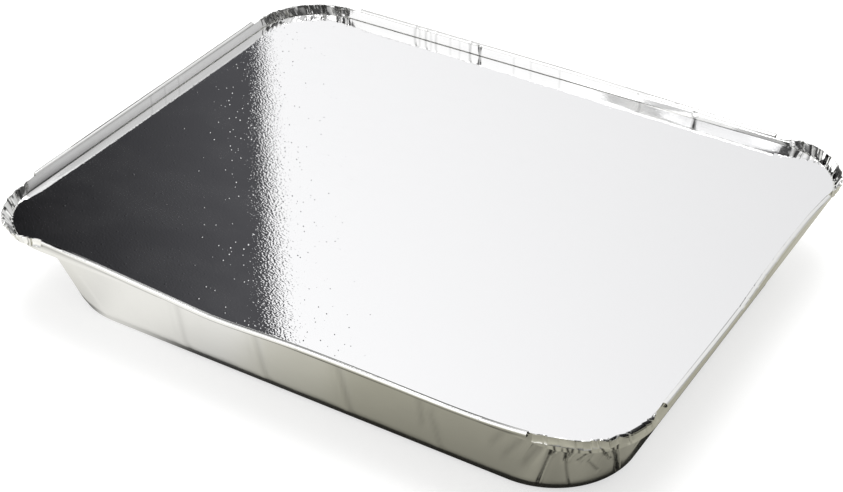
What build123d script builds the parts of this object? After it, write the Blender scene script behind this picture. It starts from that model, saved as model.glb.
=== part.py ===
"""Aluminium foil tray with a flat foil-faced board lid.

Millimetres, +Z up. The origin is the middle of the base's underside, with X
along the long sides. The tray is one pressed sheet: flat base, leaning walls,
flat ledge, upright rim with a rolled bead on each straight side, and pleated
corners that flare out. The lid rests on the ledge, inside the rim.
"""
import os
from math import cos, pi, sin

from build123d import *

# Overall sizes, over the rolled beads
overall_length = 322.0
overall_width = 257.0
overall_height = 50.0

# Sheet and rolled bead
foil = 0.3
bead_diameter = 2.6
bead_gap_angle = 50.0
bead_setback = 3.0

# Rim, from the ledge's top face to the top of the bead
rim_height = 6.9
rim_corner_radius = 34.5

# Ledge and walls
ledge_width = 8.9
mouth_corner_radius = 27.0
base_inset = 18.0
base_corner_radius = 38.0
base_edge_radius = 3.5
ledge_bend_radius = 0.8

# Pleated corners
pleats_per_corner = 13
points_per_pleat = 6
pleat_depth = 0.8
pleat_flare = 4.0
pleat_sheet = 0.45
pleat_overlap = 1.0
pleat_drop = 0.9
pleat_fade = 4.0

# Lid
lid_thickness = 0.6
lid_clearance = 0.6

# Sizes that follow
bead_radius = bead_diameter / 2
rim_length = overall_length - 2 * bead_diameter
rim_width = overall_width - 2 * bead_diameter
ledge_z = overall_height - rim_height
bead_z = overall_height - bead_radius
mouth_length = rim_length - 2 * ledge_width
mouth_width = rim_width - 2 * ledge_width
base_length = rim_length - 2 * base_inset
base_width = rim_width - 2 * base_inset
straight_x = rim_length - 2 * rim_corner_radius
straight_y = rim_width - 2 * rim_corner_radius
wall_lean = (base_inset - ledge_width) / ledge_z


def floor_inset():
    """How far in the hollow's floor is from the mouth's outer edge."""
    return foil + wall_lean * (ledge_z - foil)


def floor_corner_radius():
    """Corner radius of the hollow at its floor."""
    rise = foil / ledge_z
    outer = base_corner_radius + rise * (mouth_corner_radius - base_corner_radius)
    return outer - foil


def sheet_profile(inner_face):
    """Sections of the upright sheet on both sides, ledge to bead."""
    with BuildSketch() as profile:
        for side in (-1, 1):
            with Locations((side * (inner_face + foil / 2), ledge_z - foil)):
                Rectangle(foil, bead_z - ledge_z + foil, align=(Align.CENTER, Align.MIN))
    return profile.sketch


def bead_profile(inner_face):
    """Sections of the rolled bead on both sides, open at its end."""
    with BuildSketch() as profile:
        for side in (-1, 1):
            middle = (side * (inner_face + bead_radius), bead_z)
            start = 90.0 + side * 90.0
            turn = -side * (360.0 - bead_gap_angle)
            with BuildLine():
                outer = CenterArc(middle, bead_radius, start, turn)
                inner = CenterArc(middle, bead_radius - foil, start, turn)
                Line(outer @ 0, inner @ 0)
                Line(outer @ 1, inner @ 1)
            make_face()
    return profile.sketch


def pleat_outline(level):
    """Closed outline of a pleated corner strip at a level, 0 foot to 1 top."""
    steps = pleats_per_corner * points_per_pleat
    inner = [(rim_corner_radius, -pleat_overlap)]
    outer = [(rim_corner_radius + pleat_sheet, -pleat_overlap)]
    for step in range(steps + 1):
        share = step / steps
        turn = share * pi / 2
        fade = min(1.0, pleat_fade * share, pleat_fade * (1 - share))
        wave = pleat_depth * sin(2 * pi * pleats_per_corner * share)
        reach = rim_corner_radius + level * fade * (pleat_flare + wave)
        inner.append((reach * cos(turn), reach * sin(turn)))
        outer.append(((reach + pleat_sheet) * cos(turn), (reach + pleat_sheet) * sin(turn)))
    inner.append((-pleat_overlap, rim_corner_radius))
    outer.append((-pleat_overlap, rim_corner_radius + pleat_sheet))
    return inner + outer[::-1]


# ---------------------------------------------------------------- hollow
# The space inside the walls, one sheet in from their outer faces
with BuildPart() as hollow:
    with BuildSketch(Plane.XY.offset(foil)):
        RectangleRounded(
            mouth_length - 2 * floor_inset(),
            mouth_width - 2 * floor_inset(),
            floor_corner_radius(),
        )
    with BuildSketch(Plane.XY.offset(ledge_z)):
        RectangleRounded(
            mouth_length - 2 * foil,
            mouth_width - 2 * foil,
            mouth_corner_radius - foil,
        )
    loft(ruled=True)
    fillet(hollow.edges().group_by(Axis.Z)[0], base_edge_radius - foil)

# ---------------------------------------------------------------- corner pleats
# One corner's strip, gathered into pleats that deepen and flare out as they rise
with BuildPart() as pleats:
    with BuildSketch(Plane.XY.offset(ledge_z - foil / 2)):
        with BuildLine():
            Polyline(*pleat_outline(0.0), close=True)
        make_face()
    with BuildSketch(Plane.XY.offset(overall_height - pleat_drop)):
        with BuildLine():
            Polyline(*pleat_outline(1.0), close=True)
        make_face()
    loft(ruled=True)

# ---------------------------------------------------------------- tray
with BuildPart() as tray:
    # Leaning outer wall, from the base up to the ledge, then hollowed
    with BuildSketch(Plane.XY):
        RectangleRounded(base_length, base_width, base_corner_radius)
    with BuildSketch(Plane.XY.offset(ledge_z)):
        RectangleRounded(mouth_length, mouth_width, mouth_corner_radius)
    loft(ruled=True)
    fillet(tray.edges().group_by(Axis.Z)[0], base_edge_radius)
    add(hollow.part, mode=Mode.SUBTRACT)

    # Flat ledge around the mouth
    with BuildSketch(Plane.XY.offset(ledge_z - foil)):
        RectangleRounded(
            rim_length + 2 * foil,
            rim_width + 2 * foil,
            rim_corner_radius + foil,
        )
        RectangleRounded(
            mouth_length - 2 * foil,
            mouth_width - 2 * foil,
            mouth_corner_radius - foil,
            mode=Mode.SUBTRACT,
        )
    extrude(amount=foil)

    # Bend between the wall and the ledge, on both faces of the sheet
    ledge_faces = tray.faces().filter_by(Plane.XY).sort_by(Axis.Z)
    fillet(ledge_faces[-1].inner_wires().edges(), ledge_bend_radius + foil)
    ledge_faces = tray.faces().filter_by(Plane.XY).sort_by(Axis.Z)
    fillet(ledge_faces[-2].inner_wires().edges(), ledge_bend_radius)

    # Long rims: an upright sheet with a bead rolled outwards along its top
    with BuildSketch(Plane.YZ.offset(-straight_x / 2)):
        add(sheet_profile(rim_width / 2))
    extrude(amount=straight_x)
    with BuildSketch(Plane.YZ.offset(bead_setback - straight_x / 2)):
        add(bead_profile(rim_width / 2))
    extrude(amount=straight_x - 2 * bead_setback)

    # Short rims, the same profile
    with BuildSketch(Plane.XZ.offset(-straight_y / 2)):
        add(sheet_profile(rim_length / 2))
    extrude(amount=straight_y)
    with BuildSketch(Plane.XZ.offset(bead_setback - straight_y / 2)):
        add(bead_profile(rim_length / 2))
    extrude(amount=straight_y - 2 * bead_setback)

    # The pleated strip at each corner, mirrored from one to the next
    corner = Pos(rim_length / 2 - rim_corner_radius, rim_width / 2 - rim_corner_radius, 0)
    strip = corner * pleats.part
    add(strip)
    add(strip.mirror(Plane.YZ))
    add(strip.mirror(Plane.XZ))
    add(strip.mirror(Plane.YZ).mirror(Plane.XZ))

# ---------------------------------------------------------------- lid
with BuildPart() as lid:
    with BuildSketch(Plane.XY.offset(ledge_z)):
        RectangleRounded(
            rim_length - 2 * lid_clearance,
            rim_width - 2 * lid_clearance,
            rim_corner_radius - lid_clearance,
        )
    extrude(amount=lid_thickness)

# ---------------------------------------------------------------- export
tray.part.label = "tray"
lid.part.label = "lid"

os.makedirs("parts", exist_ok=True)
for piece in (tray, lid):
    export_step(piece.part, f"parts/{piece.part.label}.step")
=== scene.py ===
"""Aluminium foil tray with a foil-faced board lid, on a pale studio floor.

Lengths in this script are millimetres until a mesh is written, in metres.
Going round the rim anticlockwise from above, the sides and corners are:
front (-Y), front right, right (+X), back right, back (+Y), back left,
left (-X) and front left. A place on the rim is one number: side k runs from
2k to 2k + 1, and the corner after it from 2k + 1 to 2k + 2.
"""

import math

import bmesh
import bpy
import numpy as np
from mathutils import Matrix, Vector

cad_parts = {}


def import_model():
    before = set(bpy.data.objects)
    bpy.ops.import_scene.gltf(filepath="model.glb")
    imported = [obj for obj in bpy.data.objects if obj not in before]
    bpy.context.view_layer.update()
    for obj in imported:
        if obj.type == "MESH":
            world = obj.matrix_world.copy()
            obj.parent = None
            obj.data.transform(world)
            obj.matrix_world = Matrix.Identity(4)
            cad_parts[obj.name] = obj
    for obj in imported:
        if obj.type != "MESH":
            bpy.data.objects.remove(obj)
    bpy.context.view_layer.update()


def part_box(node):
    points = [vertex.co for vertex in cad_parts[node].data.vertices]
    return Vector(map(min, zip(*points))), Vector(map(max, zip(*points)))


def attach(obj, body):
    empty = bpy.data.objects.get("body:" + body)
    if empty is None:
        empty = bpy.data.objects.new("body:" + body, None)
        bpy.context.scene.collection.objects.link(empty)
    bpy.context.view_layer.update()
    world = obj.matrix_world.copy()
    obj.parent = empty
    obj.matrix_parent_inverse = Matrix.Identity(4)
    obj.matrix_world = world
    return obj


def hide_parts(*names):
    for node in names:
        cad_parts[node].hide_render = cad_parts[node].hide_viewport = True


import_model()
MM = 0.001
RNG = np.random.default_rng(11)

# ------------------------------------------------------------------ sizes
TRAY_LO, TRAY_HI = (np.array(v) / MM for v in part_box("tray"))
LID_LO, LID_HI = (np.array(v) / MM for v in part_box("lid"))
LEDGE_Z = LID_LO[2]
LID_Z = LID_HI[2]
BEAD_RADIUS = 1.3
RIM_X = TRAY_HI[0] - 2 * BEAD_RADIUS
RIM_Y = TRAY_HI[1] - 2 * BEAD_RADIUS
RIM_RADIUS = 34.5
LEDGE_WIDTH = 8.9
MOUTH_RADIUS = 27.0
BASE_INSET = 18.0
BASE_RADIUS = 38.0
BASE_EDGE = 3.5
SHEET = 0.15
MID = SHEET / 2
BEAD_SETBACK = 3.0
STRAIGHT_HANG = 3.4
WALL_LEAN = (BASE_INSET - LEDGE_WIDTH) / LEDGE_Z

# ------------------------------------------------------------------ rim shape
# Lean of the upright rim round the tray, degrees inwards
LEAN = (
    (0.0, 12), (0.05, 4), (0.10, 0), (0.15, 0), (0.95, 0), (1.0, 3),
    (1.1, 7), (1.35, 8), (1.6, 12), (1.75, 19), (1.92, 19),
    (2.0, 14), (2.15, 9), (2.35, 5), (2.47, 6), (2.52, 12), (2.72, 18), (2.87, 13),
    (2.97, 0),
    (3.06, -16), (3.2, -30), (3.5, -38), (3.72, -25), (3.9, 12), (4.0, 36),
    (4.03, 41), (4.194, 26), (4.312, 17), (4.49, 5), (4.7, 0), (5.0, -4),
    (5.2, -18), (5.5, -22), (5.8, -16), (6.0, -6),
    (6.1, -2), (6.5, -4), (6.8, -7), (6.97, -13),
    (7.15, -27), (7.5, -45), (7.8, -30), (7.93, 0), (8.0, 20),
)
# Height of the rim's top above the ledge, along its own slope
RISE = (
    (0.0, 6.9), (0.12, 6.9), (0.21, 5.3), (0.30, 3.9), (0.37, 2.4), (0.40, 2.4),
    (0.463, 3.3),
    (0.563, 4.5), (0.66, 4.5), (0.757, 4.1), (0.85, 3.7), (0.938, 4.4), (0.98, 5.6),
    (1.03, 6.9), (2.0, 6.9), (3.0, 6.9),
    (3.1, 6.6), (3.5, 6.4), (3.9, 6.4), (4.0, 6.9), (5.0, 6.9), (5.1, 6.6), (5.5, 6.6),
    (5.9, 6.6), (6.0, 6.9), (7.0, 6.9), (7.03, 5.6), (7.5, 6.6), (7.9, 6.2), (8.0, 6.9),
)
# Folded corners: pleats, their depth, slant at the top, reach into the wall,
# raggedness of the top, how far the flattened bead hangs down outside, spacing
# of the columns, and how much painted black shade the bottoms of the folds get
PLEATS = {
    0: dict(count=13, depth=0.55, slant=-0.8, body=0.6, rag=0.35, hang=3.4, fine=0.34, pinch_shade=0.1),
    1: dict(count=22, depth=0.95, slant=2.0, body=0.3, rag=0.22, hang=3.2, fine=0.85, pinch_shade=0.75),
    2: dict(count=30, depth=0.85, slant=1.6, body=0.3, rag=0.2, hang=3.2, fine=0.85, pinch_shade=0.75),
    3: dict(count=24, depth=1.0, slant=-2.2, body=0.3, rag=0.25, hang=3.2, fine=0.85, pinch_shade=0.75),
}
# Upright creases in the straight rims: place, depth
RIM_CREASES = (
    (4.840, 0.14), (4.828, -0.08), (4.813, 0.14), (4.800, -0.07), (4.788, 0.12),
    (4.753, 0.05), (4.730, -0.04), (4.705, 0.18), (4.681, -0.32), (4.600, 0.05),
    (4.493, 0.05), (4.312, 0.10), (4.194, -0.22), (4.560, -0.04),
    (0.120, 0.08), (0.383, 0.15), (0.560, 0.06), (0.905, -0.08),
    (2.430, 0.25), (2.470, -0.20), (2.520, 0.22), (2.575, -0.20), (2.640, 0.15),
    (2.760, 0.12),
    (6.390, 0.06), (6.450, -0.05), (6.510, 0.06),
)
# Creases down the wall: place and height at each end, width, depth
WALL_CREASES = (
    (0.262, 40, 0.216, 5, 2.2, 0.30), (0.236, 34, 0.205, 12, 1.8, 0.06),
    (0.430, 40, 0.420, 5, 2.2, 0.36), (0.415, 38, 0.400, 18, 2.0, 0.07),
    (0.602, 40, 0.629, 5, 2.2, 0.45), (0.590, 38, 0.600, 14, 2.0, 0.07),
    (0.766, 40, 0.790, 18, 2.0, 0.36), (0.806, 24, 0.842, 5, 2.0, 0.32),
    (0.950, 42, 0.935, 24, 2.4, 0.40), (0.985, 42, 0.968, 20, 2.0, 0.45),
    (1.060, 42, 1.030, 22, 1.8, 0.50),
    (1.135, 45, 1.153, 36, 0.60, 1.50), (1.153, 36, 1.197, 5, 0.50, 0.78),
    (1.195, 44, 1.165, 36, 0.50, 0.90),
    (1.227, 46, 1.279, 32, 0.80, 1.90), (1.279, 32, 1.420, 4, 0.50, 0.62),
    (1.275, 46, 1.245, 40, 0.45, 1.10), (1.320, 46, 1.295, 38, 0.45, 0.80),
    (1.384, 47, 1.401, 38, 0.50, 1.40), (1.401, 38, 1.370, 32, 0.55, 0.70),
    (1.370, 32, 1.320, 33, 0.60, 0.62),
    (1.467, 46, 1.559, 34, 0.55, 1.70), (1.559, 34, 1.624, 28, 0.50, 1.50),
    (1.550, 46, 1.565, 42, 0.60, 1.60), (1.607, 48, 1.589, 43, 0.70, 1.80),
    (1.595, 40, 1.786, 6, 0.60, 1.60), (1.451, 30, 1.567, 18, 0.70, 0.64),
    (1.860, 42, 1.840, 30, 1.4, 0.40), (1.930, 40, 1.910, 24, 1.6, 0.35),
    (2.300, 41, 2.280, 20, 2.6, 0.15), (2.620, 41, 2.650, 12, 2.6, 0.18),
    (3.300, 41, 3.360, 8, 1.5, 0.30), (3.560, 41, 3.520, 18, 1.4, 0.30),
    (3.800, 41, 3.830, 6, 1.5, 0.28),
    (4.180, 40, 4.210, 6, 2.4, 0.18), (4.400, 40, 4.380, 6, 2.4, 0.16),
    (4.600, 40, 4.630, 10, 2.4, 0.18), (4.820, 40, 4.800, 6, 2.4, 0.16),
    (5.250, 41, 5.300, 6, 1.5, 0.28), (5.520, 41, 5.480, 16, 1.4, 0.30),
    (5.760, 41, 5.800, 8, 1.5, 0.26),
    (6.300, 40, 6.330, 6, 2.4, 0.16), (6.700, 40, 6.680, 8, 2.4, 0.16),
    (7.150, 41, 7.200, 10, 1.6, 0.18), (7.420, 41, 7.400, 6, 1.6, 0.20),
    (7.700, 38, 7.660, 16, 1.5, 0.16),
)
# Wall creases at least this deep close up, with a painted black shade line;
# the line's half width. Shallower ones are flutes, with painted shade by a
# share of their depth
PINCH_DEPTH = 0.6
PINCH_WIDTH = 0.48
FLUTE_SHADE = 0.42
# Share of painted black shade round the tray: at the foot of the left rim
# inside, along the back of the bead, under the bead outside, and on a corner's
# top edge
LEFT_SHADE = (
    (0.0, 0), (6.0, 0.08), (6.5, 0.2), (6.75, 0.5), (7.0, 0.95), (7.1, 0.2), (7.2, 0),
)
BEAD_SHADE = ((0.0, 0.2), (0.4, 0.25), (0.6, 0.6), (0.93, 0.9), (0.97, 0), (7.9, 0))
UNDER_SHADE = (
    (0.0, 0.45), (0.4, 0.55), (0.5, 0.8), (0.93, 0.95), (0.97, 0.1), (1.0, 0.0),
    (2.0, 0.0), (2.1, 0.2), (7.0, 0.2),
)
EDGE_SHADE = ((0.0, 0), (0.99, 0), (1.02, 0.85), (1.97, 0.85), (2.0, 0), (7.9, 0))
# How far the middle of the rim bows outwards
CURL = ((0.0, 0), (5.9, 0), (6.1, 0.09), (6.9, 0.12), (7.0, 0))
# Where the flattened bead gapes open at the top of a corner
SLOT = (
    (0.0, 0), (1.42, 0), (1.55, 0.55), (1.70, 1.0), (1.92, 1.0), (1.98, 0), (7.9, 0),
)
# The flattened bead from the rim's top outwards and down: outset, height (a
# share of the hang where negative), outward and upward gape, painted black
# shade inside the gape and painted black shade on the edge
BAND = (
    (0.06, 0.20, 0.10, 0.10, 0.1, 1.0), (0.20, 0.28, 0.60, -1.10, 1.0, 1.0),
    (0.38, 0.20, 1.50, -1.20, 1.0, 0.9), (0.42, 0.05, 1.75, -0.30, 0.1, 0.3),
    (0.46, -0.25, 1.30, 0.0, 0.0, 0.0), (0.50, -0.6, 0.5, 0.0, 0.0, 0.0),
    (0.90, -1.0, 0.0, 0.0, 0.0, 0.0),
)
# Where the wall swells out to meet the rim, in place of the ledge's overhang
APRON = (
    (0.0, 0), (0.90, 0), (1.0, 4.5), (1.1, 7.6), (1.88, 7.6), (2.0, 4.5), (2.1, 0),
    (7.9, 0),
)
# Spacing of the columns on each straight side
STRAIGHT_STEPS = {0: 1.7, 2: 2.8, 4: 2.6, 6: 2.8}
# Rows of the mesh up the wall and turns of the bead, in degrees
WALL_ROWS = 20
BEAD_TURNS = np.linspace(180, -130, 15)[1:]
# Edges that bend by more than this stay sharp
SHARP_ANGLE = math.radians(32)


def along(keys, places):
    """Smoothly blends (place, value) keys at places round the rim."""
    spots, values = zip(*keys)
    dense = np.linspace(0, 8, 1601)
    curve = np.interp(dense, spots, values, period=8)
    kernel = np.hanning(33)
    kernel /= kernel.sum()
    curve = np.convolve(np.r_[curve[-17:-1], curve, curve[1:17]], kernel, "valid")
    return np.interp(places, dense, curve, period=8)


def outline(places, half_x, half_y, radius):
    """Points and outward normals of a rounded rectangle at places on the rim."""
    part = part_of(places)
    share = places - np.floor(places)
    side = part // 2
    run_x = half_x - radius
    run_y = half_y - radius
    turn = np.where(part % 2 == 1, share, 0.0) * math.pi / 2 + (side - 1) * math.pi / 2
    slide = np.where(part % 2 == 0, 2 * share - 1, 1.0)
    sign_x = np.choose(side, (1, 1, -1, -1))
    sign_y = np.choose(side, (-1, 1, 1, -1))
    centre_x = np.where(side % 2 == 0, sign_x * slide * run_x, sign_x * run_x)
    centre_y = np.where(side % 2 == 1, sign_y * slide * run_y, sign_y * run_y)
    normal = np.stack([np.cos(turn), np.sin(turn)], -1)
    centre = np.stack([centre_x, centre_y], -1)
    return centre + radius * normal, normal


def part_of(places):
    """Number of the side or corner, 0 to 7, at places round the rim."""
    return np.floor(places).astype(int) % 8


def soft_ends(height, low, high, soft):
    """1 between two heights, fading to 0 over a soft length past each."""
    above = np.clip((high + soft - height) / soft, 0, 1)
    return above * np.clip((height - low + soft) / soft, 0, 1)


def side_lengths():
    """Length in millimetres of one unit of place, for each side and corner."""
    corner = RIM_RADIUS * math.pi / 2
    long_side = 2 * (RIM_X - RIM_RADIUS)
    short_side = 2 * (RIM_Y - RIM_RADIUS)
    return np.array([long_side, corner, short_side, corner] * 2)


def waves(places, height, seed, scale, count=24):
    """Smooth random relief over the wall, about one unit high."""
    rng = np.random.default_rng(seed)
    arc = np.interp(places, np.arange(9), np.r_[0, np.cumsum(side_lengths())])
    total = np.zeros(np.broadcast(arc, height).shape)
    for _ in range(count):
        along_k, up_k = rng.normal(0, 1 / scale, 2)
        total = total + np.sin(along_k * arc + 0.6 * up_k * height + rng.uniform(0, 6.28))
    return total / math.sqrt(count / 2)


# ------------------------------------------------------------------ columns
def straight_places(part, step):
    """Column places on one side, closer together at its creases."""
    length = side_lengths()[part]
    base = np.linspace(0, 1, int(length / step), endpoint=False)
    extra = [
        spot - part + shift / length
        for spot, _ in RIM_CREASES if int(spot) == part
        for shift in (-1.2, -0.6, 0.0, 0.6, 1.2)
    ]
    places = np.unique(np.round(np.r_[base, extra], 5))
    keep = np.r_[True, np.diff(places) * length > 0.25]
    places = places[keep & (places >= 0) & (places < 1)]
    return part + places


def corner_columns(corner):
    """Columns of one pleated corner: places, fold height, slide and ragged top."""
    spec = PLEATS[corner]
    widths = RNG.lognormal(0, 0.45, spec["count"])
    widths /= widths.sum()
    knots, heights = [0.0], [0.0]
    for width in widths:
        narrow = RNG.uniform(0.10, 0.26)
        high, low = RNG.uniform(0.45, 1.0), RNG.uniform(-0.7, 0.0)
        crest = 1 - narrow if RNG.random() < 0.72 else narrow
        knots += [knots[-1] + width * crest, knots[-1] + width]
        heights += [high, low]
    knots[-1], heights[-1] = 1.0, 0.0
    length = side_lengths()[1]
    places = [0.0]
    for start, end in zip(knots[:-1], knots[1:]):
        steps = max(1, math.ceil((end - start) * length / spec["fine"]))
        places += list(start + (end - start) * np.arange(1, steps + 1) / steps)
    places = np.array(places[:-1])
    fade = np.clip(np.minimum(places, 1 - places) * 12, 0, 1)
    fold = np.interp(places, knots, heights) * fade
    wander = np.interp(places, knots, RNG.uniform(-0.35, 0.35, len(knots)))
    slide = (spec["slant"] * np.sin(math.pi * places) ** 0.5 + wander) * fade
    ragged = np.interp(places, knots, spec["rag"] * RNG.uniform(-1, 0.6, len(knots))) * fade
    return 2 * corner + 1 + places, fold, slide, ragged


def columns():
    """All columns round the tray, with what each one's folds do."""
    parts = []
    for part in range(8):
        if part % 2 == 0:
            spots = straight_places(part, STRAIGHT_STEPS[part])
            flat = np.zeros(len(spots))
            parts.append([spots] + [flat] * 6 + [flat + STRAIGHT_HANG])
        else:
            spots, fold, slide, ragged = corner_columns(part // 2)
            spec = PLEATS[part // 2]
            same = [np.full(len(spots), spec[k]) for k in ("depth", "body", "pinch_shade", "hang")]
            parts.append([spots, fold, slide, ragged] + same)
    names = ("place", "fold", "slide", "ragged", "depth", "body", "pinch_shade", "hang")
    return {name: np.concatenate(values) for name, values in zip(names, zip(*parts))}


# ------------------------------------------------------------------ tray sheet
def wall_relief(place, height, fold, body):
    """How far the wall stands out at a height, from creases and waves."""
    lengths = side_lengths()[part_of(place)]
    relief = 0.10 * waves(place, height, 3, 16) * np.clip(height / 12, 0, 1)
    for top, top_z, low, low_z, width, depth in WALL_CREASES:
        share = np.clip((top_z - height) / (top_z - low_z), 0, 1)
        spot = top + share * (low - top)
        ends = soft_ends(height, low_z, top_z, 2.5 if depth >= PINCH_DEPTH else 7.0)
        away = (place - spot) * lengths / width
        relief = relief - depth * ends * np.exp(-np.abs(away) ** 1.3)
        relief = relief + 0.45 * depth * ends * np.exp(-((away - 1.9) / 1.2) ** 2)
    gather = body * fold * np.exp(-(LEDGE_Z - height) / 7.0)
    return relief + gather


def crease_shade(place, height):
    """Share of painted black shade at a height on the wall, in its creases and flutes."""
    lengths = side_lengths()[part_of(place)]
    shade = np.zeros(len(place))
    for top, top_z, low, low_z, width, depth in WALL_CREASES:
        pinched = depth >= PINCH_DEPTH
        line_width = PINCH_WIDTH if pinched else 0.8 * width
        strength = min(1, depth / 1.2) if pinched else FLUTE_SHADE * depth
        spot = top + np.clip((top_z - height) / (top_z - low_z), 0, 1) * (low - top)
        ends = soft_ends(height, low_z, top_z, 1.5 if pinched else 8.0)
        line = np.exp(-((place - spot) * lengths / line_width) ** 2) * ends * strength
        shade = np.maximum(shade, line)
    return shade


def rim_relief(place, level):
    """Crease relief of the straight rims, at a share of their height."""
    lengths = side_lengths()[part_of(place)]
    relief = np.zeros(len(place))
    for spot, depth in RIM_CREASES:
        away = np.abs(place - spot) * lengths
        relief += depth * (0.25 + 0.75 * level) * np.clip(1 - away / 1.25, 0, 1)
    return relief


def ring(place, outset, height, radius, shift=0.0):
    """One level of the sheet: points at an outset from the rim's inner face."""
    half_x = RIM_X + np.min(outset)
    half_y = RIM_Y + np.min(outset)
    points, normal = outline(place, half_x, half_y, radius)
    points = points + normal * (outset - np.min(outset))[..., None]
    tangent = np.stack([-normal[:, 1], normal[:, 0]], -1)
    points = points + tangent * np.broadcast_to(shift, place.shape)[:, None]
    return np.column_stack([points, np.broadcast_to(height, place.shape)])


def lower_levels(cols):
    """Middle surface of the base edge, wall and ledge, from the base outwards.

    With each level comes its share of painted black shade, on the outer and the inner face.
    """
    place, fold, body = cols["place"], cols["fold"], cols["body"]
    ones = np.ones(len(place))
    swell = along(APRON, place)
    levels, shades = [], []
    clear = np.zeros(len(place))

    def wall_ring(height):
        """Outset of the wall at a height, and the corner radius there."""
        rise = np.clip((height - 1) / (LEDGE_Z - 1), 0, 1)
        outset = -LEDGE_WIDTH - WALL_LEAN * (LEDGE_Z - height) + swell * rise
        return outset, BASE_RADIUS + (MOUTH_RADIUS - BASE_RADIUS) * height / LEDGE_Z

    angle = math.atan(WALL_LEAN)
    tangent = BASE_EDGE * math.tan((math.pi / 2 - angle) / 2)
    centre = -BASE_INSET - tangent
    for inset in (14.0, 5.0, 1.5):
        levels.append(ring(place, (centre - inset) * ones, MID, BASE_RADIUS - tangent - inset))
        shades.append((clear, clear))
    for turn in np.linspace(-math.pi / 2, -angle, 6):
        outset = centre + (BASE_EDGE - MID) * math.cos(turn)
        height = BASE_EDGE + (BASE_EDGE - MID) * math.sin(turn)
        levels.append(ring(place, outset * ones, height, BASE_RADIUS + outset + BASE_INSET))
        shades.append((clear, clear))
    start = BASE_EDGE * (1 - math.sin(angle))
    for height in np.linspace(start, LEDGE_Z - 1.5, WALL_ROWS + 1)[1:]:
        outset, radius = wall_ring(height)
        ease = np.clip((height - start) / 6, 0, 1)
        relief = wall_relief(place, height, fold, body) * ease
        levels.append(ring(place, outset - MID + relief, height, radius))
        # Painted shade in the corners' fold valleys, darker towards the ledge
        valley = np.clip(-fold, 0, 1) * body * 0.35 * np.exp(-(LEDGE_Z - height) / 6.0)
        line = np.clip(crease_shade(place, height) + valley, 0, 1)
        shades.append((line, line))
    mouth, radius = wall_ring(LEDGE_Z)
    low = LEDGE_Z - MID
    # Painted shade in the fold valleys on the outer face, where the wall meets the ledge
    for out, height, keep in ((-0.3, low - 0.9, 0.9), (0.05, low - 0.35, 0.6), (0.7, low, 0.3)):
        outset = mouth + out + body * fold * keep * 0.5
        levels.append(ring(place, outset, height, radius + out))
        shades.append((0.2 * np.clip(-fold, 0, 1) * body, clear))
    for share in (0.3, 0.6, 0.9):
        outset = (mouth + 0.7) * (1 - share)
        blend = radius + (RIM_RADIUS - LEDGE_WIDTH - radius) * share
        levels.append(ring(place, outset, low, blend + LEDGE_WIDTH * share))
        shades.append((clear, clear))
    return levels, shades


def rim_frame(place):
    """Foot of the rim and its own up and out directions at each column."""
    foot_points, normal = outline(place, RIM_X + MID, RIM_Y + MID, RIM_RADIUS + MID)
    foot = np.column_stack([foot_points, np.full(len(place), LEDGE_Z - MID)])
    lean = np.radians(along(LEAN, place))[:, None]
    flat = np.column_stack([normal, np.zeros(len(place))])
    upright = np.array([0, 0, 1.0])
    up = upright * np.cos(lean) - flat * np.sin(lean)
    out = flat * np.cos(lean) + upright * np.sin(lean)
    tangent = np.cross(upright, flat)
    return foot, up, out, tangent


def fold_swing(cols, level):
    """Outward swing of the folds and creases at a share of the rim's height."""
    curl = along(CURL, cols["place"]) * math.sin(math.pi * level)
    return cols["depth"] * cols["fold"] * level ** 0.5 + rim_relief(cols["place"], level) + curl


def pleat_shade(cols):
    """Share of painted black shade down in a corner's folds, where the foil pinches shut."""
    return cols["pinch_shade"] * np.clip(-1.5 * cols["fold"], 0, 1) ** 1.5


def rim_crease_shade(place):
    """Share of painted black shade at the creases of the straight rims."""
    lengths = side_lengths()[part_of(place)]
    shade = np.zeros(len(place))
    for spot, depth in RIM_CREASES:
        line = np.clip(1 - np.abs(place - spot) * lengths / 1.0, 0, 1)
        shade = np.maximum(shade, min(0.7, 2.0 * abs(depth)) * line)
    return shade


def rim_levels(cols):
    """Middle surface of the upright rim from the ledge to the bead."""
    foot, up, out, tangent = rim_frame(cols["place"])
    rise = along(RISE, cols["place"]) - BEAD_RADIUS + MID + cols["ragged"]
    corner = part_of(cols["place"]) % 2 == 1
    cover = np.where(corner, cols["hang"] + 0.3, BEAD_RADIUS + 1.5)
    under = along(UNDER_SHADE, cols["place"])
    near_left = along(LEFT_SHADE, cols["place"])
    levels, shades = [], []
    for level in (0.0, 0.08, 0.22, 0.4, 0.6, 0.8, 1.0):
        points = foot + up * (rise * level)[:, None] + out * fold_swing(cols, level)[:, None]
        levels.append(points + tangent * (cols["slide"] * level)[:, None])
        # Painted shade under the bead or hem outside, at the left rim's foot inside, and in the
        # folds and creases
        below = np.maximum(rise * (1 - level) - cover, 0)
        inside = near_left * (1 - level) ** 2 + pleat_shade(cols)
        inside = inside + rim_crease_shade(cols["place"])
        outside = under * np.exp(-(below / 0.6) ** 2)
        outside = outside + crease_shade(cols["place"], LEDGE_Z + rise * level)
        shades.append((np.clip(outside, 0, 1), np.clip(inside, 0, 1)))
    return levels, shades


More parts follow.
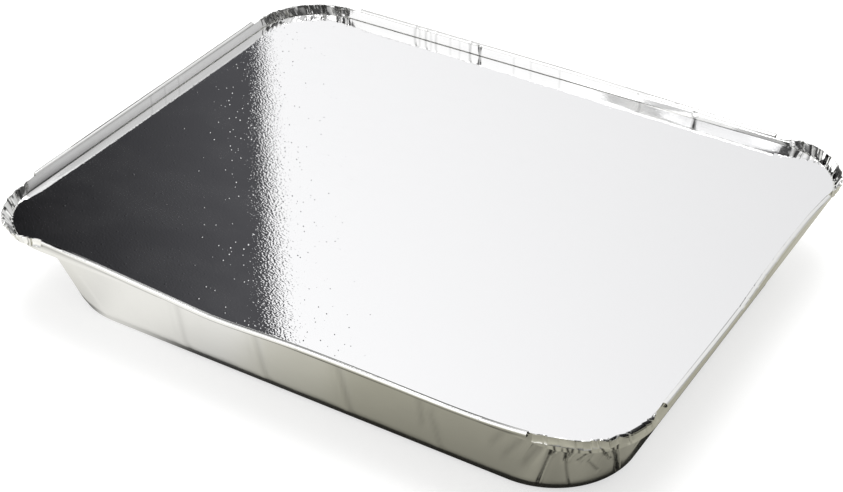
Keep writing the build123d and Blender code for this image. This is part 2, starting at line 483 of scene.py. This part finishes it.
def bead_levels(cols):
    """Middle surface of the rolled bead on one straight side."""
    foot, up, out, _ = rim_frame(cols["place"])
    rise = along(RISE, cols["place"]) - BEAD_RADIUS + MID
    relief = rim_relief(cols["place"], 1.0)
    centre = foot + up * rise[:, None] + out * (BEAD_RADIUS - MID + relief)[:, None]
    radius = BEAD_RADIUS - MID
    back = along(BEAD_SHADE, cols["place"])
    under = along(UNDER_SHADE, cols["place"])
    levels, shades = [], []
    for turn in BEAD_TURNS:
        angle = math.radians(turn)
        levels.append(centre + out * (radius * math.cos(angle)) + up * (radius * math.sin(angle)))
        # Painted shade along the back of the bead and on its underside
        behind = back * np.clip((turn - 50) / 35, 0, 1)
        shade = np.maximum(behind, under * np.clip(-turn / 35, 0, 1))
        shades.append((shade, shade))
    return levels, shades


def band_levels(cols):
    """The bead pressed flat in a corner: it turns over the top and hangs outside."""
    foot, up, out, tangent = rim_frame(cols["place"])
    rise = along(RISE, cols["place"]) - BEAD_RADIUS + MID + cols["ragged"]
    slot = along(SLOT, cols["place"]) * np.clip(1.1 + 1.6 * cols["fold"], 0.15, 1)
    edge = along(EDGE_SHADE, cols["place"]) * np.clip(0.7 + cols["fold"], 0.25, 1)
    levels, shades = [], []
    for outset, drop, slot_out, slot_up, dark, edge_dark in BAND:
        hang = drop * np.where(drop < 0, cols["hang"], 1.0) + slot_up * slot
        uneven = cols["ragged"] * 0.8 * (drop < -0.5)
        swing = cols["depth"] * cols["fold"] * (1.0 if drop > -0.5 else 0.75)
        swing = swing + outset + slot_out * slot
        slide = cols["slide"] * np.clip((rise + hang) / rise, 0.3, 1)
        points = foot + up * (rise + hang + uneven)[:, None] + out * swing[:, None]
        levels.append(points + tangent * slide[:, None])
        # Painted shade inside the gape, on the top edge and down in the folds
        shade = dark * slot + edge * edge_dark * (1 - 0.7 * slot) + pleat_shade(cols)
        shade = np.clip(shade, 0, 1)
        shades.append((shade, shade))
    return levels, shades


def stitch(faces, lower, upper, closed):
    """Adds the quads between two rows of vertex numbers."""
    count = len(lower)
    for i in range(count if closed else count - 1):
        j = (i + 1) % count
        faces.append((lower[i], lower[j], upper[j], upper[i]))


def ring_faces(rows, width):
    """Quads between rows of points that each run right round."""
    faces = []
    for start in range(0, (rows - 1) * width, width):
        upper = range(start + width, start + 2 * width)
        stitch(faces, range(start, start + width), upper, True)
    return faces


def sheet_mesh(points, faces, thickness):
    """Points and faces of the closed thin sheet round a middle surface."""
    faces_in = np.array(faces)
    a, b, c, d = (points[faces_in[:, k]] for k in range(4))
    face_normal = np.cross(c - a, d - b)
    normal = np.zeros_like(points)
    for k in range(4):
        np.add.at(normal, faces_in[:, k], face_normal)
    normal /= np.maximum(np.linalg.norm(normal, axis=1), 1e-9)[:, None]
    count = len(points)
    half = normal * thickness / 2
    both = np.concatenate([points + half, points - half])
    solid = [tuple(f) for f in faces_in]
    solid += [tuple(int(v) + count for v in f[::-1]) for f in faces_in]
    edges = {}
    for f in faces:
        for i in range(4):
            edge = (f[i], f[(i + 1) % 4])
            edges[edge] = edges.get(edge, 0) + 1
    for (i, j) in [e for e in edges if (e[1], e[0]) not in edges]:
        solid.append((j, i, i + count, j + count))
    return both, solid


def make_object(name, points, faces):
    """A mesh object in metres, smooth but for edges sharper than an angle."""
    mesh = bpy.data.meshes.new(name)
    mesh.from_pydata((np.asarray(points) * MM).tolist(), [], faces)
    build = bmesh.new()
    build.from_mesh(mesh)
    bmesh.ops.recalc_face_normals(build, faces=build.faces)
    for face in build.faces:
        face.smooth = True
    for edge in build.edges:
        if len(edge.link_faces) == 2 and edge.calc_face_angle(0) > SHARP_ANGLE:
            edge.smooth = False
    build.to_mesh(mesh)
    build.free()
    obj = bpy.data.objects.new(name, mesh)
    bpy.context.scene.collection.objects.link(obj)
    return obj


def edge_columns(place, index):
    """Columns, in order, that carry the rim's edge on one side or corner.

    A side's bead stops short of its ends, and a corner's flattened bead runs on
    nearly as far.
    """
    lengths = side_lengths()
    share = (place - index + 4) % 8 - 4
    if index % 2:
        before, after = (BEAD_SETBACK / lengths[(index + step) % 8] for step in (-1, 1))
        wanted = (share > -0.9 * before) & (share < 1 + 0.9 * after)
    else:
        margin = BEAD_SETBACK / lengths[index]
        wanted = (share >= margin) & (share <= 1 - margin)
    chosen = np.where(wanted)[0]
    return chosen[np.argsort(share[chosen])]


def build_tray():
    """The pressed foil tray as one sheet, with its share of painted black shade at each point."""
    cols = columns()
    width = len(cols["place"])
    points, shades = (low + rim for low, rim in zip(lower_levels(cols), rim_levels(cols)))
    faces = ring_faces(len(points), width)
    used = len(points) * width
    top = np.arange(used - width, used)
    for index in range(8):
        chosen = edge_columns(cols["place"], index)
        chosen_cols = {name: values[chosen] for name, values in cols.items()}
        extra, extra_shades = (band_levels if index % 2 else bead_levels)(chosen_cols)
        shades += extra_shades
        previous = top[chosen]
        for row in extra:
            numbers = np.arange(used, used + len(chosen))
            points.append(row)
            stitch(faces, previous, numbers, False)
            previous = numbers
            used += len(chosen)
    points = np.concatenate(points)
    points = np.clip(points, TRAY_LO + SHEET, TRAY_HI - SHEET)
    points[:, 2] = np.where(points[:, 2] <= SHEET, MID, points[:, 2])
    middle_faces = [tuple(int(v) for v in f) for f in faces]
    solid_points, solid = sheet_mesh(points, middle_faces, SHEET)
    solid = close_base(solid, width, len(points))
    tray = make_object("tray_foil_sheet", solid_points, solid)
    # Each point's share of painted black shade, read by the foil material
    shade = tray.data.attributes.new("painted_shade", "FLOAT", "POINT")
    sides = [np.concatenate(side) for side in zip(*shades)]
    shade.data.foreach_set("value", np.concatenate(sides))
    return tray


def close_base(solid, width, count):
    """Puts one flat face over each side of the base's open middle."""
    walls = set()
    for i in range(width):
        j = (i + 1) % width
        walls.add(frozenset((i, j, i + count, j + count)))
    solid = [f for f in solid if frozenset(f) not in walls]
    solid.append(tuple(range(width))[::-1])
    solid.append(tuple(v + count for v in range(width)))
    return solid


# ------------------------------------------------------------------ lid
LID_ROWS = 181
LID_COLUMNS = 221
# Share of a quarter turn over which the rows close up towards the long edges
ROW_EASE = 0.98 * math.pi / 2
# The faint waves of the lid die away over this width along its edge
FLAT_BORDER = 25
LID_WAVE = 0.018
EDGE_BEND = 0.12


def build_lid():
    """The flat lid: a foil-faced board with rounded corners."""
    half_x = LID_HI[0]
    half_y = LID_HI[1]
    radius = RIM_RADIUS - (RIM_X - half_x)
    across = np.sin(np.linspace(-1, 1, LID_ROWS) * ROW_EASE) / math.sin(ROW_EASE)
    along_x = np.linspace(-1, 1, LID_COLUMNS)
    ys = across * half_y
    over = np.clip(np.abs(ys) - (half_y - radius), 0, radius)
    widths = half_x - radius + np.sqrt(np.maximum(radius ** 2 - over ** 2, 0))
    xs = along_x[None, :] * widths[:, None]
    yy = np.repeat(ys[:, None], len(along_x), 1)
    to_edge = np.minimum(widths[:, None] - np.abs(xs), half_y - np.abs(yy))
    edge = np.minimum(1, to_edge / FLAT_BORDER)
    swell = np.sin(xs / 47 + 1.1) * np.sin(yy / 39 + 0.4)
    swell = LID_WAVE * (swell + 0.6 * np.sin(xs / 21 - yy / 33 + 2.0))
    zz = LID_Z - 0.05 + swell * edge - 0.02 * (1 - edge)
    rows, cols = xs.shape
    top = np.column_stack([xs.ravel(), yy.ravel(), zz.ravel()])
    number = np.arange(rows * cols).reshape(rows, cols)
    faces = []
    for i in range(rows - 1):
        for j in range(cols - 1):
            near, far = number[i], number[i + 1]
            faces.append((near[j], near[j + 1], far[j + 1], far[j]))
    border = np.r_[number[0, :], number[1:, -1], number[-1, -2::-1], number[-2:0:-1, 0]]
    border_top = top[border]
    count = len(border)
    lower = np.column_stack([border_top[:, :2], np.full(count, LEDGE_Z)])
    middle = np.column_stack([border_top[:, :2], np.full(count, LID_Z - EDGE_BEND)])
    base = rows * cols
    points = np.concatenate([top, middle, lower])
    for i in range(count):
        j = (i + 1) % count
        faces.append((border[i], base + i, base + j, border[j]))
        faces.append((base + i, base + count + i, base + count + j, base + j))
    faces.append(tuple(base + count + i for i in range(count))[::-1])
    faces = [tuple(int(v) for v in f) for f in faces]
    return make_object("foil_lid_sheet", points, faces)


# ------------------------------------------------------------------ materials
def new_material(name):
    """An empty material with its nodes and links."""
    material = bpy.data.materials.new(name)
    material.use_nodes = True
    return material, material.node_tree.nodes, material.node_tree.links


def noise(nodes, links, coords, scale, detail=3.0, rough=0.5):
    """Noise over some coordinates."""
    node = nodes.new("ShaderNodeTexNoise")
    node.inputs["Scale"].default_value = scale
    node.inputs["Detail"].default_value = detail
    node.inputs["Roughness"].default_value = rough
    links.new(coords, node.inputs["Vector"])
    return node.outputs["Fac"]


def bump(nodes, links, height, distance, previous=None):
    """Fine relief of a height in metres, on top of an earlier one."""
    node = nodes.new("ShaderNodeBump")
    node.inputs["Distance"].default_value = distance
    node.inputs["Strength"].default_value = 1.0
    links.new(height, node.inputs["Height"])
    if previous is not None:
        links.new(previous, node.inputs["Normal"])
    return node.outputs["Normal"]


def ramp(nodes, links, source, low, high, low_value, high_value):
    """A value that runs between two others as its source runs from low to high."""
    node = nodes.new("ShaderNodeMapRange")
    node.inputs["From Min"].default_value = low
    node.inputs["From Max"].default_value = high
    node.inputs["To Min"].default_value = low_value
    node.inputs["To Max"].default_value = high_value
    links.new(source, node.inputs["Value"])
    return node.outputs["Result"]


def stretched(nodes, links, stretch, turn=0.0):
    """Object coordinates, turned about the upright and then stretched."""
    coords = nodes.new("ShaderNodeTexCoord")
    mapping = nodes.new("ShaderNodeMapping")
    mapping.inputs["Scale"].default_value = stretch
    mapping.inputs["Rotation"].default_value = (0, 0, turn)
    links.new(coords.outputs["Object"], mapping.inputs["Vector"])
    return mapping.outputs["Vector"]


def tray_foil():
    """Bright soft-gloss foil with faint rolling lines, mixed towards black by painted shade in
    its folds and creases, under the bead and on the corners' edges.
    """
    material, nodes, links = new_material("tray_foil_bright")
    shader = nodes["Principled BSDF"]
    shader.inputs["Metallic"].default_value = 1.0
    lines = noise(nodes, links, stretched(nodes, links, (60, 900, 900)), 1.0, 4.0, 0.6)
    cloud = noise(nodes, links, stretched(nodes, links, (45, 45, 45)), 1.0, 3.0)
    grain = noise(nodes, links, stretched(nodes, links, (1, 1, 1)), 1400, 2.0)
    mix = nodes.new("ShaderNodeMix")
    mix.data_type = "RGBA"
    mix.inputs["A"].default_value = (0.86, 0.86, 0.85, 1)
    mix.inputs["B"].default_value = (0.92, 0.92, 0.91, 1)
    links.new(cloud, mix.inputs["Factor"])
    shade = nodes.new("ShaderNodeAttribute")
    shade.attribute_name = "painted_shade"
    # Painted shade: the attribute's share mixes the foil towards near black
    pinched = nodes.new("ShaderNodeMix")
    pinched.data_type = "RGBA"
    pinched.inputs["B"].default_value = (0.012, 0.012, 0.01, 1)
    links.new(shade.outputs["Fac"], pinched.inputs["Factor"])
    links.new(mix.outputs["Result"], pinched.inputs["A"])
    links.new(pinched.outputs["Result"], shader.inputs["Base Color"])
    links.new(ramp(nodes, links, lines, 0.3, 0.7, 0.09, 0.16), shader.inputs["Roughness"])
    normal = bump(nodes, links, grain, 0.000012)
    links.new(bump(nodes, links, cloud, 0.00025, normal), shader.inputs["Normal"])
    return material


def lid_foil():
    """Mirror foil over board: orange peel, small pits and faint smears."""
    material, nodes, links = new_material("lid_foil_mirror")
    shader = nodes["Principled BSDF"]
    shader.inputs["Metallic"].default_value = 1.0
    shader.inputs["Base Color"].default_value = (0.93, 0.93, 0.94, 1)
    place = stretched(nodes, links, (1, 1, 1))
    grain = stretched(nodes, links, (900, 1500, 900), -AZIMUTH)
    peel = noise(nodes, links, grain, 1.0, 0.5, 0.5)
    smear = noise(nodes, links, stretched(nodes, links, (30, 45, 30)), 1.0, 5.0, 0.65)
    links.new(ramp(nodes, links, smear, 0.3, 0.7, 0.01, 0.022), shader.inputs["Roughness"])
    links.new(ramp(nodes, links, smear, 0.42, 0.75, 0.0, 0.35), shader.inputs["Coat Weight"])
    shader.inputs["Coat Roughness"].default_value = 0.45
    cells = nodes.new("ShaderNodeTexVoronoi")
    cells.inputs["Scale"].default_value = 380
    links.new(place, cells.inputs["Vector"])
    pits = ramp(nodes, links, cells.outputs["Distance"], 0.04, 0.24, 1.0, 0.0)
    chance = nodes.new("ShaderNodeSeparateColor")
    links.new(cells.outputs["Color"], chance.inputs["Color"])
    deep = nodes.new("ShaderNodeMath")
    deep.operation = "MULTIPLY"
    links.new(pits, deep.inputs[0])
    depth = ramp(nodes, links, chance.outputs["Red"], 0.3, 1.0, 0.0, 1.0)
    links.new(depth, deep.inputs[1])
    normal = bump(nodes, links, peel, 0.000016)
    normal = bump(nodes, links, deep.outputs["Value"], 0.00003, normal)
    links.new(normal, shader.inputs["Normal"])
    return material


def board():
    """Bare white board on the lid's cut edge and underside."""
    material, nodes, links = new_material("lid_board_white")
    shader = nodes["Principled BSDF"]
    fibres = noise(nodes, links, stretched(nodes, links, (300, 900, 300)), 1.0, 4.0)
    mix = nodes.new("ShaderNodeMix")
    mix.data_type = "RGBA"
    mix.inputs["A"].default_value = (0.78, 0.78, 0.76, 1)
    mix.inputs["B"].default_value = (0.86, 0.86, 0.84, 1)
    links.new(fibres, mix.inputs["Factor"])
    links.new(mix.outputs["Result"], shader.inputs["Base Color"])
    shader.inputs["Roughness"].default_value = 0.8
    links.new(bump(nodes, links, fibres, 0.00005), shader.inputs["Normal"])
    return material


# ------------------------------------------------------------------ studio
# Lengths in the studio are metres, apart from the cove's
SENSOR_WIDTH = 36
FOCAL_LENGTH = 78.1024
AZIMUTH = math.radians(31.25)
ELEVATION = math.radians(34.95)
CAMERA_SHIFT = (-0.0032, -0.0233)
CAMERA_DISTANCE = 0.8382
SCREEN_DISTANCE = 3.2
SCREEN_STEPS = 24
FLOOR_HALF = 12.0
CEILING_HEIGHT = 3.0
# Glow of the reflection card overhead, at radii from its middle
CEILING_TONE = ((0.01, 0.62), (0.8, 0.68), (1.6, 0.82), (2.4, 1.05), (3.0, 1.15))
CEILING_POINTS = 48
# Glow of the reflection cove round the tray, a painted reflection, how strongly
# its painted shade darkens it towards the base, and that painted shade at
# distances from the base's outline
COVE_TONE = (
    (0.0, 0.95), (0.22, 0.95), (0.30, 0.88), (0.36, 0.70), (0.42, 0.62), (0.52, 0.56),
    (0.60, 0.42), (0.75, 0.37), (1.0, 0.33), (1.15, 0.42), (1.3, 0.29), (1.5, 0.36),
    (1.7, 0.28), (2.0, 0.38), (3.2, 0.42), (4.0, 0.75), (7.6, 0.85),
)
COVE_GRIP = (
    (0.0, 0.25), (0.10, 0.5), (0.20, 1.0), (3.5, 1.0), (4.5, 0.8), (7.4, 0.8),
    (7.75, 0.8), (7.9, 0.3),
)
COVE_SHADE = (
    (-8, 0.03), (2.2, 0.05), (3.0, 0.50), (4.0, 0.68), (9, 0.75), (16, 0.86), (28, 1.0),
    (80, 1.05), (400, 1.25), (3000, 1.25), (3200, 0.9), (3450, 0.5), (3900, 0.4),
)
# Where the cove starts to rise, the width over which it darkens by the grip, and
# how uneven its raised part is round the tray, in stripes to each side
COVE_REACH = 3000
COVE_NEAR = 80
COVE_UNEVEN = ((0.0, 0.1), (0.5, 0.2), (1.0, 0.75), (6.8, 0.75), (7.3, 0.1), (7.9, 0.1))
COVE_STRIPES = 2.5
COVE_STEP = 0.02
COVE_HEIGHT = 0.2
# Share of red, green and blue taken away everywhere, and more where it is dim
COVE_WARM = np.array([0, 0.01, 0.05])
COVE_DIM_WARM = np.array([0, 0.02, 0.16])


def camera():
    """The camera at the photo's angle. Gives its place."""
    back = Vector((
        math.sin(AZIMUTH) * math.cos(ELEVATION),
        -math.cos(AZIMUTH) * math.cos(ELEVATION),
        math.sin(ELEVATION),
    ))
    right = Vector((math.cos(AZIMUTH), math.sin(AZIMUTH), 0))
    up = back.cross(right)
    target = Vector((0, 0, LID_Z * MM))
    place = target + back * CAMERA_DISTANCE + right * CAMERA_SHIFT[0] + up * CAMERA_SHIFT[1]
    data = bpy.data.cameras.new("camera")
    data.sensor_width = SENSOR_WIDTH
    data.lens = FOCAL_LENGTH
    data.clip_start = 0.01
    obj = bpy.data.objects.new("camera", data)
    matrix = Matrix((right, up, back)).transposed().to_4x4()
    matrix.translation = place
    obj.matrix_world = matrix
    bpy.context.scene.collection.objects.link(obj)
    bpy.context.scene.camera = obj
    return place


def panel(name, centre, aim, width, height, radiance):
    """A soft square light, unseen by the camera, that faces its aim."""
    data = bpy.data.lights.new(name, "AREA")
    data.shape = "RECTANGLE"
    data.size = width
    data.size_y = height
    data.energy = radiance * math.pi * width * height
    obj = bpy.data.objects.new(name, data)
    turn = (Vector(aim) - Vector(centre)).to_track_quat("-Z", "Y")
    obj.matrix_world = Matrix.Translation(centre) @ turn.to_matrix().to_4x4()
    obj.visible_camera = False
    bpy.context.scene.collection.objects.link(obj)
    return obj


def world():
    """Dim grey all round for light and reflections, pale to the camera itself."""
    scene_world = bpy.data.worlds.new("studio")
    scene_world.use_nodes = True
    bpy.context.scene.world = scene_world
    nodes = scene_world.node_tree.nodes
    links = scene_world.node_tree.links
    dim = nodes["Background"]
    dim.inputs["Color"].default_value = (0.07, 0.07, 0.07, 1)
    pale = nodes.new("ShaderNodeBackground")
    pale.inputs["Color"].default_value = (1.0, 1.0, 1.0, 1)
    path = nodes.new("ShaderNodeLightPath")
    mix = nodes.new("ShaderNodeMixShader")
    links.new(path.outputs["Is Camera Ray"], mix.inputs["Fac"])
    links.new(dim.outputs["Background"], mix.inputs[1])
    links.new(pale.outputs["Background"], mix.inputs[2])
    links.new(mix.outputs["Shader"], nodes["World Output"].inputs["Surface"])


def backdrop(name, eye, headings, fade, heights, radiance, tint=(1, 1, 1)):
    """A curved screen behind the tray, between two headings from the camera's foot.

    Its glow runs from radiance[0] to radiance[1] over the headings in fade, and
    is multiplied by radiance[2] at the bottom, rising to 1 halfway up.
    """
    low, high = heights
    verts, faces = [], []
    for i in range(SCREEN_STEPS + 1):
        turn = headings[0] + (headings[1] - headings[0]) * i / SCREEN_STEPS
        x = eye.x - SCREEN_DISTANCE * math.sin(math.radians(turn))
        y = eye.y + SCREEN_DISTANCE * math.cos(math.radians(turn))
        verts += [(x, y, low), (x, y, high)]
        if i:
            faces.append((2 * i - 2, 2 * i, 2 * i + 1, 2 * i - 1))
    mesh = bpy.data.meshes.new(name)
    mesh.from_pydata(verts, [], faces)
    obj = bpy.data.objects.new(name, mesh)
    material, nodes, links = new_material(name)
    nodes.remove(nodes["Principled BSDF"])
    glow = nodes.new("ShaderNodeEmission")
    glow.inputs["Color"].default_value = (*tint, 1)
    coords = nodes.new("ShaderNodeTexCoord")
    split = nodes.new("ShaderNodeSeparateXYZ")
    links.new(coords.outputs["Object"], split.inputs["Vector"])
    start, end = (eye.x - SCREEN_DISTANCE * math.sin(math.radians(a)) for a in fade)
    left, right, bottom = radiance
    across = ramp(nodes, links, split.outputs["X"], start, end, left, right)
    upward = ramp(nodes, links, split.outputs["Z"], low, (low + high) / 2, bottom, 1.0)
    times = nodes.new("ShaderNodeMath")
    times.operation = "MULTIPLY"
    links.new(across, times.inputs[0])
    links.new(upward, times.inputs[1])
    links.new(times.outputs["Value"], glow.inputs["Strength"])
    links.new(glow.outputs["Emission"], nodes["Material Output"].inputs["Surface"])
    mesh.materials.append(material)
    bpy.context.scene.collection.objects.link(obj)
    obj.visible_camera = False


def floor():
    """A plain pale floor with a faint glow, so that it shows only soft shadows."""
    mesh = bpy.data.meshes.new("floor")
    corners = [(-1, -1, 0), (1, -1, 0), (1, 1, 0), (-1, 1, 0)]
    mesh.from_pydata((np.array(corners) * FLOOR_HALF).tolist(), [], [(0, 1, 2, 3)])
    obj = bpy.data.objects.new("floor", mesh)
    material, nodes, _ = new_material("floor_pale")
    shader = nodes["Principled BSDF"]
    shader.inputs["Base Color"].default_value = (0.5, 0.5, 0.5, 1)
    shader.inputs["Roughness"].default_value = 0.8
    shader.inputs["Specular IOR Level"].default_value = 0.1
    shader.inputs["Emission Color"].default_value = (1, 1, 1, 1)
    shader.inputs["Emission Strength"].default_value = 0.62
    mesh.materials.append(material)
    bpy.context.scene.collection.objects.link(obj)


def glow_card(name, points, faces, colours):
    """A glowing card seen only in reflections, one colour at each point."""
    mesh = bpy.data.meshes.new(name)
    mesh.from_pydata(points.tolist(), [], faces)
    tones = mesh.color_attributes.new("tone", "FLOAT_COLOR", "POINT")
    tones.data.foreach_set("color", np.column_stack([colours, np.ones(len(colours))]).ravel())
    obj = bpy.data.objects.new(name, mesh)
    material, nodes, links = new_material(name)
    nodes.remove(nodes["Principled BSDF"])
    glow = nodes.new("ShaderNodeEmission")
    tone = nodes.new("ShaderNodeVertexColor")
    tone.layer_name = "tone"
    links.new(tone.outputs["Color"], glow.inputs["Color"])
    links.new(glow.outputs["Emission"], nodes["Material Output"].inputs["Surface"])
    mesh.materials.append(material)
    bpy.context.scene.collection.objects.link(obj)
    obj.visible_camera = False
    obj.visible_diffuse = False
    obj.visible_shadow = False


def cove():
    """A glowing card on the floor round the tray, seen only in its reflections.

    It rises at its far edge. Its tone, a painted reflection, changes round the
    tray and darkens in painted shade towards the base, where the tray meets the floor.
    """
    place = np.arange(0, 8, COVE_STEP)
    tone = along(COVE_TONE, place)
    grip = along(COVE_GRIP, place)
    stripes = along(COVE_UNEVEN, place) * np.sin(2 * math.pi * COVE_STRIPES * place)
    warm = COVE_WARM + np.clip((0.9 - tone) / 0.5, 0, 1)[:, None] * COVE_DIM_WARM
    rows, colours = [], []
    for distance, shade in COVE_SHADE:
        flat = min(distance, COVE_REACH)
        raised = distance > COVE_REACH
        half_x, half_y = RIM_X - BASE_INSET + flat, RIM_Y - BASE_INSET + flat
        points, _ = outline(place, half_x, half_y, BASE_RADIUS + flat)
        height = COVE_HEIGHT + distance - flat
        rows.append(np.column_stack([points, np.full(len(place), height)]))
        darkened = 1 - (1 - shade) * np.where(distance < COVE_NEAR, grip, 1)
        level = (1 + stripes * raised) * np.clip(darkened, 0.02, 1.3) * tone
        colours.append(level[:, None] * (1 - warm * (not raised)))
    faces = ring_faces(len(rows), len(place))
    glow_card("reflection_cove", np.concatenate(rows) * MM, faces, np.concatenate(colours))


def ceiling_card():
    """A glowing card under the ceiling light, seen only in reflections, a painted reflection:
    greyer overhead.
    """
    turns = np.linspace(0, 2 * math.pi, CEILING_POINTS, endpoint=False)
    circle = np.column_stack([np.cos(turns), np.sin(turns), np.zeros(CEILING_POINTS)])
    below = np.array([0, 0, CEILING_HEIGHT - 0.1])
    points = np.concatenate([radius * circle + below for radius, _ in CEILING_TONE])
    tones = np.repeat([tone for _, tone in CEILING_TONE], CEILING_POINTS)
    faces = ring_faces(len(CEILING_TONE), CEILING_POINTS)
    glow_card("ceiling_card", points, faces, np.column_stack([tones] * 3))


def lights(eye):
    """Screens behind, a key light high at the back, softer ones above and in front.

    The lid's mirror shows the edge where the dark screen meets the white one.
    """
    edge = 36.9
    cool = (0.97, 0.97, 1.04)
    backdrop("white_screen", eye, (edge, 5), (edge, 12), (1.0, 4.0), (1.07, 0.85, 0.92))
    backdrop("right_screen", eye, (5, -50), (5, -50), (0.35, 4.0), (0.84, 0.66, 0.75))
    backdrop("dark_screen", eye, (90, edge), (48, 38.2), (0, 4.0), (0.002, 0.08, 1), cool)
    panel("key_light", (-0.15, 0.35, 2.3), (0, 0, 0), 1.4, 1.4, 5.0)
    ceiling = panel("ceiling_light", (0, 0, CEILING_HEIGHT), (0, 0, 0), 6.0, 6.0, 0.9)
    ceiling.data.shape = "DISK"
    ceiling.visible_glossy = False
    ceiling_card()
    panel("front_light", (-0.9, -1.5, 1.3), (0, 0, 0), 1.1, 2.2, 1.15)
    cove()


# ------------------------------------------------------------------ assembly
tray = build_tray()
tray.data.materials.append(tray_foil())
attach(tray, "root")
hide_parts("tray")

lid = build_lid()
lid.data.materials.append(lid_foil())
lid.data.materials.append(board())
for polygon in lid.data.polygons:
    if polygon.normal.z < 0.5 and polygon.center.z < (LID_Z - 0.1) * MM:
        polygon.material_index = 1  # the cut edge and the underside are board
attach(lid, "root")
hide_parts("lid")

world()
floor()
lights(camera())
bpy.context.scene.view_settings.view_transform = "Standard"
